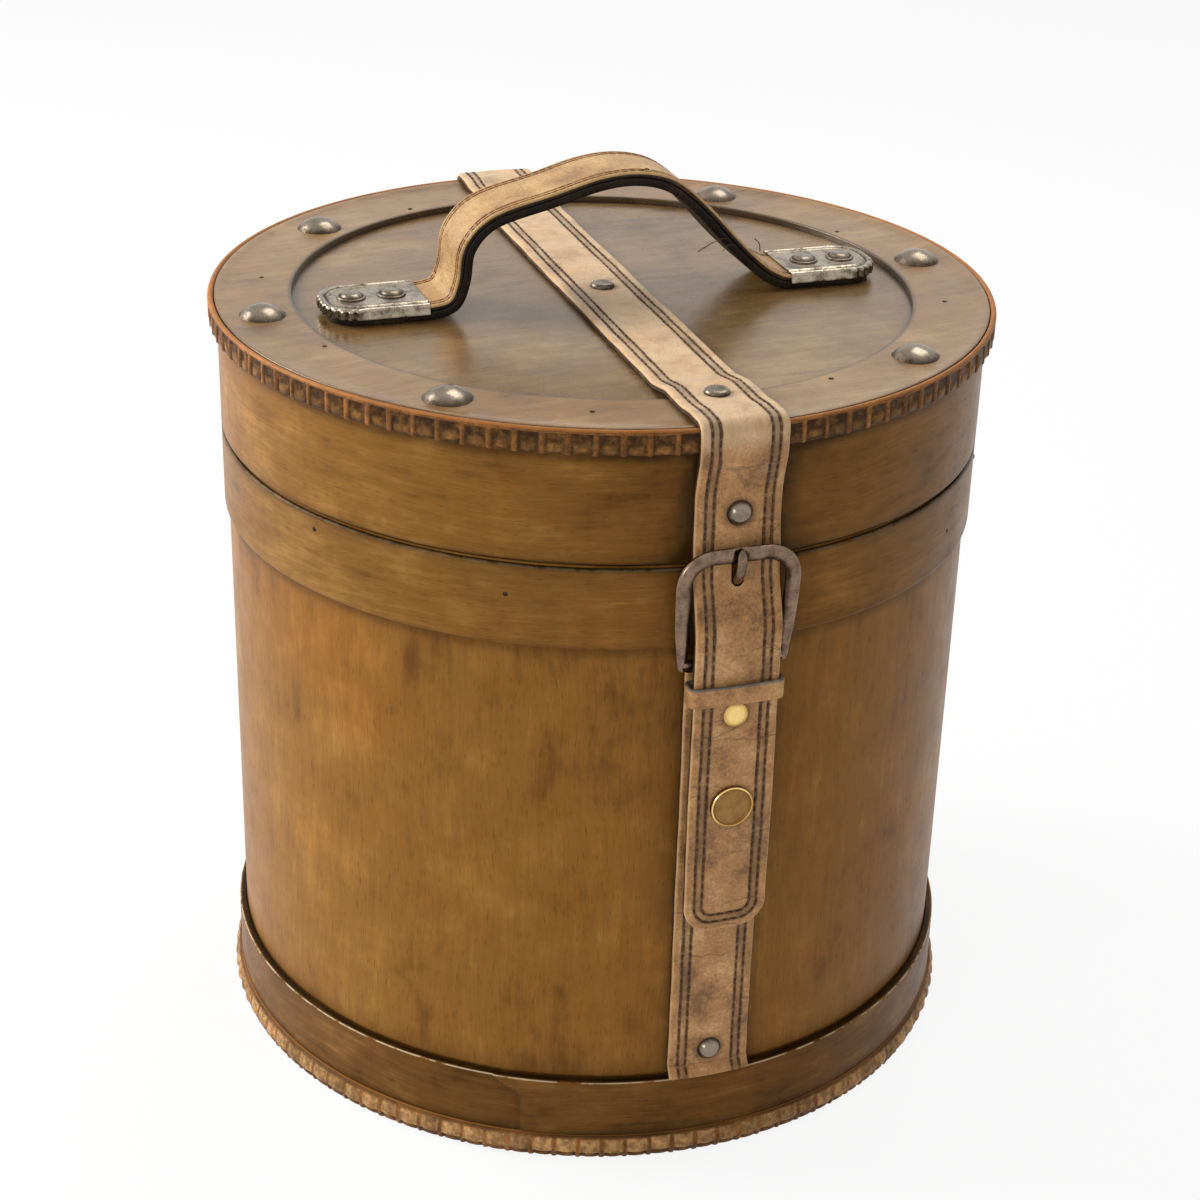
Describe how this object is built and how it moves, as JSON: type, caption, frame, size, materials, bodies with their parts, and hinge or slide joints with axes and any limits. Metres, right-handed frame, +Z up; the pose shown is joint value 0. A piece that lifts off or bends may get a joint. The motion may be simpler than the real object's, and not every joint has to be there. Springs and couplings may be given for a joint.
{
  "type": "collar box",
  "caption": "Round wooden collar box with a leather-hinged lid, arched leather handle, domed nails and a front strap with buckle, keeper and magnetic snap.",
  "frame": {"origin": "centre of the drum's flat underside, on the surface that the box stands on", "axes": "+Z up through the drum's axis, -Y towards the front with the buckle, +X to the right, along the handle"},
  "size_m": [0.2462, 0.2542, 0.2846],
  "materials": {
    "drum_veneer": "satin lacquered veneer, upright grain",
    "hoop_veneer": "satin lacquered veneer, grain round the drum",
    "lid_veneer": "satin lacquered veneer, grain across the lid",
    "base_wood": "bare plywood",
    "lip_wood": "bare bent wood",
    "moulding_wood": "carved moulding, orange edges over dark hollows",
    "strap_leather": "creased beige-tan leather with dark stitching",
    "handle_leather": "light tan leather with orange-brown stitching",
    "black_leather": "dark dyed leather",
    "nickel": "antique nickel, worn bright on top",
    "cap_nickel": "pressed nickel sheet, aged",
    "brass": "bright brass",
    "dark_brass": "antique brass with a bright rim",
    "dark_bronze": "dark brown-grey bronze",
    "dark_iron": "dark pin heads"
  },
  "bodies": {
    "drum": {"drum_shell": "drum_veneer", "base_board": "base_wood", "inner_lip": "lip_wood", "collar_hoop": "hoop_veneer", "foot_hoop": "hoop_veneer", "foot_moulding": "moulding_wood", "lower_strap": "strap_leather", "lower_strap_rivet": "nickel", "snap_socket": "dark_brass", "rear_strap": "strap_leather", "rear_strap_rivets": "nickel", "collar_brads": "dark_iron"},
    "lid": {"lid_skirt": "hoop_veneer", "lid_board": "lid_veneer", "lid_ring": "lid_veneer", "lid_moulding": "moulding_wood", "dome_nails": "nickel", "ring_brads": "dark_iron", "lid_strap": "strap_leather", "lid_strap_rivets": "nickel", "handle_strap": "handle_leather", "handle_backing": "black_leather", "handle_cap_left": "cap_nickel", "handle_cap_right": "cap_nickel", "handle_rivets": "nickel"},
    "flap": {"strap_tail": "strap_leather", "buckle_loop": "strap_leather", "tail_rivet": "brass", "snap_cap": "dark_brass"},
    "buckle": {"buckle_frame": "dark_bronze"},
    "prong": {"buckle_prong": "dark_bronze"},
    "keeper": {"keeper_loop": "strap_leather"}
  },
  "joints": [
    {"name": "lid_hinge", "type": "hinge", "parent": "drum", "child": "lid", "pos_m": [0, 0.12225, 0.20345], "axis": [-1, 0, 0], "range_deg": [0, 110]},
    {"name": "flap_swing", "type": "hinge", "parent": "lid", "child": "flap", "pos_m": [0, -0.12255, 0.2116], "axis": [-1, 0, 0], "range_deg": [0, 90]},
    {"name": "buckle_rock", "type": "hinge", "parent": "flap", "child": "buckle", "pos_m": [0, -0.1225, 0.174], "axis": [1, 0, 0], "range_deg": [0, 1.5]},
    {"name": "prong_lift", "type": "hinge", "parent": "buckle", "child": "prong", "pos_m": [0, -0.1225, 0.174], "axis": [1, 0, 0], "range_deg": [0, 1]},
    {"name": "keeper_slide", "type": "slide", "parent": "flap", "child": "keeper", "axis": [0, 0, 1], "range_m": [0, 0.0015]}
  ]
}
